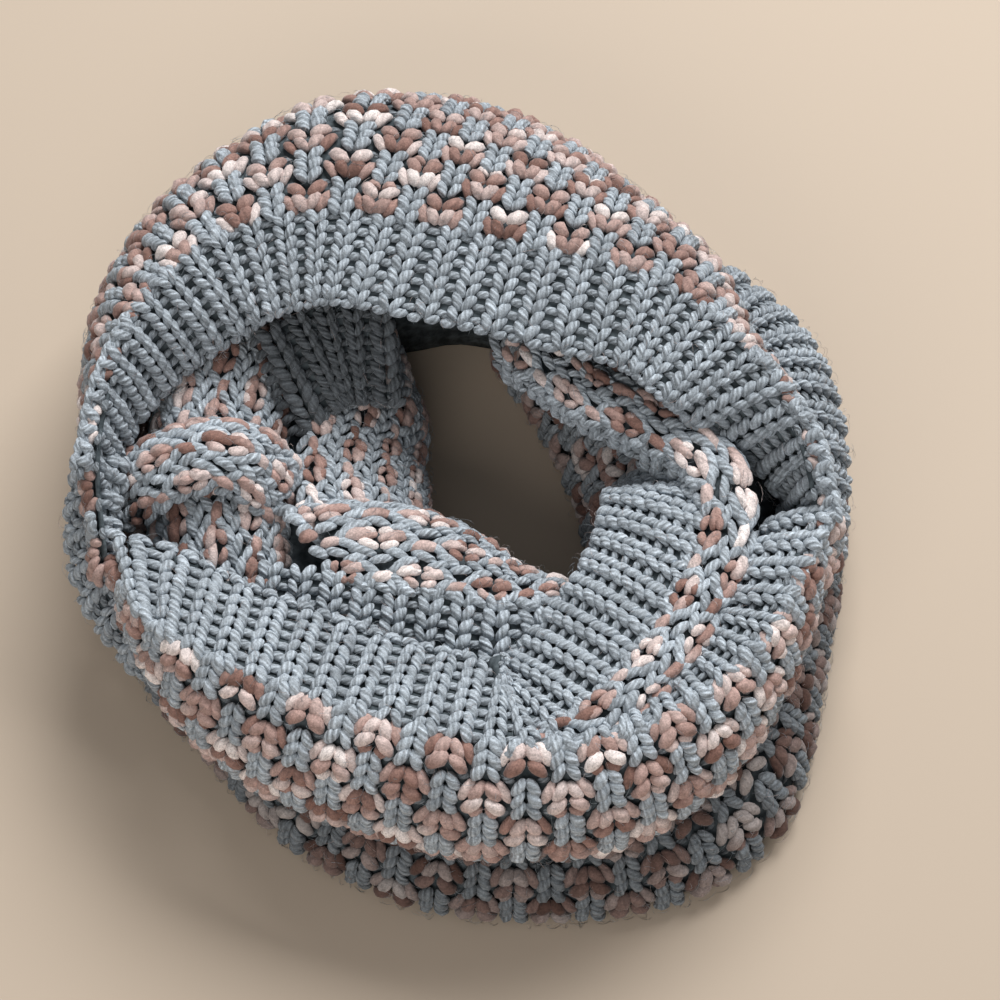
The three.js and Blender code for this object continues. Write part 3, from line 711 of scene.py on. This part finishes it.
def fresh(name):
    material = bpy.data.materials.new(name)
    material.use_nodes = True
    material.node_tree.nodes.clear()
    return material, material.node_tree


def yarn_material(name, ply_groove, fibre_groove, ply_turn, plies, streak, sheen):
    """A spun yarn, read along the strand: plies twisted round each other, fine fibres along the
    plies, and a soft halo from the loose ends."""
    material, tree = fresh(name)
    strand = node(tree, "ShaderNodeUVMap", uv_map="strand")
    parts = node(tree, "ShaderNodeSeparateXYZ", {"Vector": strand.outputs["UV"]})
    round_about, run = parts.outputs["X"], parts.outputs["Y"]
    lay = node(tree, "ShaderNodeMath", {0: round_about}, {1: float(plies)}, operation="MULTIPLY")
    twist = node(tree, "ShaderNodeMath", {0: run, 2: lay.outputs[0]}, {1: 10 / ply_turn},
                 operation="MULTIPLY_ADD")
    angle = node(tree, "ShaderNodeMath", {0: twist.outputs[0]}, {1: 2 * math.pi}, operation="MULTIPLY")
    wave = node(tree, "ShaderNodeMath", {0: angle.outputs[0]}, operation="SINE")
    crest = node(tree, "ShaderNodeMath", {0: wave.outputs[0]}, {1: 0.5, 2: 0.5}, operation="MULTIPLY_ADD")
    # Fibres about 0.4 mm wide and a few millimetres long, coarse enough to show.
    spread = node(tree, "ShaderNodeMath", {0: twist.outputs[0]}, {1: 2.0}, operation="MULTIPLY")
    length = node(tree, "ShaderNodeMath", {0: run}, {1: 3.0}, operation="MULTIPLY")
    fibre_at = node(tree, "ShaderNodeCombineXYZ", {"X": spread.outputs[0], "Y": length.outputs[0]})
    fibre = node(tree, "ShaderNodeTexNoise", {"Vector": fibre_at.outputs[0]},
                 {"Scale": 1.0, "Detail": 3.0, "Roughness": 0.6})
    where = node(tree, "ShaderNodeTexCoord")
    heather = node(tree, "ShaderNodeTexNoise", {"Vector": where.outputs["Object"]},
                   {"Scale": 1500.0, "Detail": 2.0, "Roughness": 0.7})
    shade = node(tree, "ShaderNodeVertexColor", layer_name="shade")
    tint = node(tree, "ShaderNodeMapRange", {"Value": fibre.outputs["Fac"]},
                {"From Min": 0.3, "From Max": 0.7, "To Min": 1 - streak, "To Max": 1 + streak})
    fleck = node(tree, "ShaderNodeMapRange", {"Value": heather.outputs["Fac"]},
                 {"From Min": 0.3, "From Max": 0.7, "To Min": 0.72, "To Max": 1.30})
    # Painted shade: the yarn colour darkens in the grooves between the plies; ply_groove sets both this and
    # the bump's depth.
    painted_groove_shade = node(tree, "ShaderNodeMapRange", {"Value": crest.outputs[0]},
                  {"From Min": 0.0, "From Max": 0.55, "To Min": 1 - 0.9 * ply_groove, "To Max": 1.0})
    both = node(tree, "ShaderNodeMath", {0: tint.outputs[0], 1: fleck.outputs[0]}, operation="MULTIPLY")
    light = node(tree, "ShaderNodeMath", {0: both.outputs[0], 1: painted_groove_shade.outputs[0]}, operation="MULTIPLY")
    colour = node(tree, "ShaderNodeVectorMath", {0: shade.outputs["Color"], "Scale": light.outputs[0]},
                  operation="SCALE")
    fibres = node(tree, "ShaderNodeBump", {"Height": fibre.outputs["Fac"]},
                  {"Strength": 0.8, "Distance": fibre_groove * MM})
    plied = node(tree, "ShaderNodeBump", {"Height": crest.outputs[0], "Normal": fibres.outputs[0]},
                 {"Strength": 0.9, "Distance": ply_groove * 1.1 * MM})
    shader = node(
        tree, "ShaderNodeBsdfPrincipled",
        {"Base Color": colour.outputs[0], "Normal": plied.outputs[0]},
        {"Roughness": 0.88, "Specular IOR Level": 0.25, "Sheen Weight": sheen, "Sheen Roughness": 0.45,
         "Sheen Tint": (0.9, 0.95, 1.0, 1.0)},
    )
    node(tree, "ShaderNodeOutputMaterial", {"Surface": shader.outputs[0]})
    return material


# Grey acrylic and wool: four soft plies with a firm twist, so each leg shows slanting grooves.
grey_yarn = yarn_material("grey plied wool yarn", 0.34, 0.55, 2.6, 4, 0.42, 0.20)
# Pink space-dyed roving: hardly any twist, so it is smoother, paler and catches more light.
pink_yarn = yarn_material("pink space-dyed roving", 0.12, 0.42, 5.0, 3, 0.24, 0.20)
YARNS = [grey_yarn, pink_yarn]


def painted_shade_ground_material():
    """Knitted ground in painted shade: the backs of the stitches, coloured dark grey for the shade deep
    between the legs, where alone it is seen.
    """
    material, tree = fresh("knitted wool ground in painted shade")
    where = node(tree, "ShaderNodeTexCoord")
    loops = node(tree, "ShaderNodeTexNoise", {"Vector": where.outputs["Object"]},
                 {"Scale": 260.0, "Detail": 3.0})
    ramp = node(tree, "ShaderNodeValToRGB", {"Fac": loops.outputs["Fac"]})
    # Dark greys in place of the grey yarn's own colour: painted shade.
    ramp.color_ramp.elements[0].position = 0.35
    ramp.color_ramp.elements[0].color = (*linear("#3A4145"), 1)
    ramp.color_ramp.elements[1].position = 0.68
    ramp.color_ramp.elements[1].color = (*linear("#666F74"), 1)
    lumps = node(tree, "ShaderNodeBump", {"Height": loops.outputs["Fac"]},
                 {"Strength": 0.9, "Distance": 1.2 * MM})
    shader = node(tree, "ShaderNodeBsdfPrincipled",
                  {"Base Color": ramp.outputs["Color"], "Normal": lumps.outputs[0]},
                  {"Roughness": 0.95, "Specular IOR Level": 0.1})
    node(tree, "ShaderNodeOutputMaterial", {"Surface": shader.outputs[0]})
    return material


painted_shade_ground_wool = painted_shade_ground_material()


# ---- ground cloths ------------------------------------------------------------------------
def ground_cloth(cloth, start):
    """The thin ground under a stretch's stitches, on the form of its CAD wall. Its first edge is
    start mm in, so that it stays under the stitches at a sharp crest."""
    bm = bmesh.new()
    along = max(6, int(cloth.length / 4.5))
    over = max(6, int(cloth.reach.mean() / 4.0))
    bmesh.ops.create_grid(bm, x_segments=along, y_segments=over, size=0.5)
    flat = np.array([v.co for v in bm.verts])
    u = (flat[:, 0] + 0.5) * cloth.length
    v = start + (flat[:, 1] + 0.5) * (cloth.reach_at(u) - 0.8 - start)
    places = cloth.at(u, v, np.full(len(u), -GROUND))
    places[:, 2] = np.maximum(places[:, 2], 0.0006)
    for vert, place in zip(bm.verts, places):
        vert.co = place
    if cloth.way == OUTWARD:
        bmesh.ops.reverse_faces(bm, faces=bm.faces[:])
    bmesh.ops.solidify(bm, geom=bm.faces[:], thickness=GROUND_THICK * MM)
    if bm.calc_volume(signed=True) < 0:
        bmesh.ops.reverse_faces(bm, faces=bm.faces[:])
    for face in bm.faces:
        face.smooth = True
    mesh = bpy.data.meshes.new(cloth.name + "_ground")
    bm.to_mesh(mesh)
    bm.free()
    mesh.materials.append(painted_shade_ground_wool)
    piece = bpy.data.objects.new(cloth.name + "_ground", mesh)
    bpy.context.collection.objects.link(piece)
    return piece


# ---- the hidden ring ----------------------------------------------------------------------
def hidden_ring():
    """The layers inside the coils: one lumpy ring, seen only in the gaps, in the ground wool darkened with
    painted shade.
    """
    bm = bmesh.new()
    count = 13
    loop = [bm.verts.new((1.0, 0.0, k / (count - 1))) for k in range(count)]
    edges = [bm.edges.new((loop[k], loop[(k + 1) % count])) for k in range(count)]
    bmesh.ops.spin(bm, geom=loop + edges, cent=(0, 0, 0), axis=(0, 0, 1), dvec=(0, 0, 0),
                   angle=2 * math.pi, steps=96, use_merge=True)
    bmesh.ops.remove_doubles(bm, verts=bm.verts[:], dist=1e-5)
    for vert in bm.verts:
        angle = math.degrees(math.atan2(vert.co.y, vert.co.x)) % 360
        row = rows_between(HIDDEN_ROWS, np.array([np.interp(
            angle, [r[0] for r in HIDDEN_ROWS], range(len(HIDDEN_ROWS)))]))[0]
        inner, outer, height = row[1] + 3, row[2] - 3, row[3] - 2
        turn = math.pi * (1 - vert.co.z)
        lump = 1.0 * float(ripple(angle / 4 + vert.co.z * 9, 4))
        radius = (inner + outer) / 2 + ((outer - inner) / 2 + lump) * math.cos(turn)
        rise = height * math.sqrt(max(math.sin(turn), 0)) + lump * math.sin(turn)
        lift = max(rise, 0.6)
        heading = math.radians(angle)
        vert.co = (
            (radius * math.cos(heading) - MIDDLE[0]) * MM,
            (radius * math.sin(heading) - MIDDLE[1]) * MM,
            lift * MM,
        )
    bmesh.ops.recalc_face_normals(bm, faces=bm.faces[:])
    if bm.calc_volume(signed=True) < 0:
        bmesh.ops.reverse_faces(bm, faces=bm.faces[:])
    for face in bm.faces:
        face.smooth = True
    mesh = bpy.data.meshes.new("hidden_layers_wool")
    bm.to_mesh(mesh)
    bm.free()
    # The ring takes the ground wool, whose dark colour is painted shade.
    mesh.materials.append(painted_shade_ground_wool)
    piece = bpy.data.objects.new("hidden_layers_wool", mesh)
    bpy.context.collection.objects.link(piece)
    return piece


# ---- the scarf ----------------------------------------------------------------------------
def loose_fibres(cloth, edge):
    """Loose ends of wool curling off the stitches, with the share edge of them at the free edge."""
    hairs = Yarn(cloth, LOOSE_FIBRE)
    count = int(cloth.face * 1e6 * FIBRE_DENSITY)
    for _ in range(count):
        u = chance.random() * cloth.length
        reach = float(cloth.reach_at(u))
        v = chance.random() * reach
        if chance.random() < edge:
            v = reach + chance.normal(0, 1.0)
        turn, long = chance.random() * 2 * math.pi, 1.0 + chance.random() * 2.0
        du, dv = long * math.cos(turn), long * math.sin(turn)
        bend = chance.normal(0, 1.0, 2)
        lift = 1.2 + chance.random() * 1.6
        tone = (GREY if chance.random() < 0.75 else SPACE_DYE[1]) * (1.0 + 0.4 * chance.random())
        hairs.leg((u - du, v - dv, 0.6), (u + bend[0], v + bend[1], lift * 1.6),
                  (u + du, v + dv, lift * 0.6), FIBRE_THICK, tone)
    return hairs.joined(cloth.name + "_loose_fibres", YARNS[:1])


def stretch(name, stitch, held="laid", rests_on=("hidden_layers",), form=FINE_LEG, painted_shade=1.0,
            fuzzy=True, edge=0.15, start=0.0, squeezed=False, **how):
    """One stretch of the scarf: its ground cloth, its stitches on it and their loose fibres.
    The darkening factor paints shade into the yarn colours of a stretch: strong for stretches that lie in
    deep shade, slight for the lower ribs and the upper back."""
    cloth = Cloth(name)
    yarn = Yarn(cloth, form, painted_shade)
    stitch(yarn, **how)
    stitches = yarn.joined(name + "_stitches", YARNS)
    ground = ground_cloth(cloth, start)
    stitches.parent = ground
    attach(ground, body)
    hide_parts(name)
    if fuzzy:
        fibres = loose_fibres(cloth, edge)
        fibres.parent = ground
    return ground


ring = hidden_ring()
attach(ring, body)
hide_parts("hidden_layers")

# The darkening factors below are painted shade: 0.3 and 0.42 in deep shade, 0.7 to 0.9 elsewhere.
stretch("back_upper_rib", knit_rib, painted_shade=0.9, edge=0.45, seed=1.0, crest=True)
stretch("back_upper_body", tulip_body, held="draped", painted_shade=0.88, start=2.4, seed=2.0)
stretch("fold_strip_floats", float_side, held="folded", seed=3.0)
stretch("front_upper_rib", knit_rib, seed=4.0)
stretch("right_upper_rib", knit_rib, held="folded", seed=5.0, crest=True)
stretch("front_upper_body", tulip_body, held="draped", seed=6.0, loops=0.6)
stretch("left_lower_rib", knit_rib, held="folded", painted_shade=0.85, squeezed=True, seed=7.0)
stretch("right_lower_rib", knit_rib, painted_shade=0.85, seed=8.0)
stretch("lower_front_body", tulip_body, painted_shade=0.42, seed=9.0, loops=0.5)
stretch("inner_left_strap", float_side, held="folded", seed=10.0)
stretch("inner_left_floats", float_side, seed=11.0)
stretch("inner_back_rib", knit_rib, painted_shade=0.3, seed=12.0)
stretch("inner_front_floats", float_side, seed=13.0)
stretch("inner_front_rib", knit_rib, seed=14.0)
stretch("fold_strip_rib", knit_rib, held="hung", edge=0.4, seed=15.0)
stretch("inner_left_wall", float_side, seed=16.0)
stretch("inner_right_wall", tulip_body, painted_shade=0.7, seed=17.0)
stretch("lower_back_body", tulip_body, form=PLAIN_LEG, fuzzy=False, seed=18.0)

# ---- floor, light and camera --------------------------------------------------------------
def floor_material():
    """Pale matt board, plain, with the faintest unevenness."""
    material, tree = fresh("pale matt floor")
    where = node(tree, "ShaderNodeTexCoord")
    cloud = node(tree, "ShaderNodeTexNoise", {"Vector": where.outputs["Object"]}, {"Scale": 3.0})
    rough = node(tree, "ShaderNodeMapRange", {"Value": cloud.outputs["Fac"]},
                 {"To Min": 0.62, "To Max": 0.74})
    shader = node(tree, "ShaderNodeBsdfPrincipled", {"Roughness": rough.outputs[0]},
                  {"Base Color": (*linear("#C0B09E"), 1), "Specular IOR Level": 0.3})
    node(tree, "ShaderNodeOutputMaterial", {"Surface": shader.outputs[0]})
    return material


bm = bmesh.new()
bmesh.ops.create_grid(bm, x_segments=1, y_segments=1, size=3.0)
floor_mesh = bpy.data.meshes.new("floor")
bm.to_mesh(floor_mesh)
bm.free()
floor_mesh.materials.append(floor_material())
floor = bpy.data.objects.new("floor", floor_mesh)
bpy.context.collection.objects.link(floor)

scene = bpy.context.scene
scene.view_settings.view_transform = "Standard"
world = bpy.data.worlds.new("soft room light")
world.use_nodes = True
world.node_tree.nodes["Background"].inputs["Color"].default_value = (*linear("#F1F3F6"), 1)
world.node_tree.nodes["Background"].inputs["Strength"].default_value = 0.26
scene.world = world


def softbox(name, place, toward, size, watts, tint):
    light = bpy.data.lights.new(name, "AREA")
    light.shape = "RECTANGLE"
    light.size, light.size_y = size
    light.energy = watts
    light.color = linear(tint)
    lamp = bpy.data.objects.new(name, light)
    lamp.location = place
    lamp.rotation_euler = (Vector(toward) - Vector(place)).to_track_quat("-Z", "Y").to_euler()
    bpy.context.collection.objects.link(lamp)


softbox("window light", (0.45, 1.05, 1.45), (0, 0, 0.03), (1.3, 0.9), 41.0, "#FFFFFF")
softbox("room fill", (-0.3, -1.25, 0.95), (0, 0, 0.03), (1.0, 0.7), 8.0, "#FFFAF4")

# The camera looks down at 62 degrees from a metre away, toward +Y.
ELEVATION = math.radians(62)
AIM = Vector((0.0124, 0.0139, 0.0))
look = Vector((0.0, math.cos(ELEVATION), -math.sin(ELEVATION)))
camera_data = bpy.data.cameras.new("camera")
camera_data.lens = 103.2
camera_data.sensor_width = 36.0
camera_data.dof.use_dof = False
camera = bpy.data.objects.new("camera", camera_data)
camera.location = AIM - look * 1.05
camera.rotation_euler = look.to_track_quat("-Z", "Y").to_euler()
bpy.context.collection.objects.link(camera)
scene.camera = camera
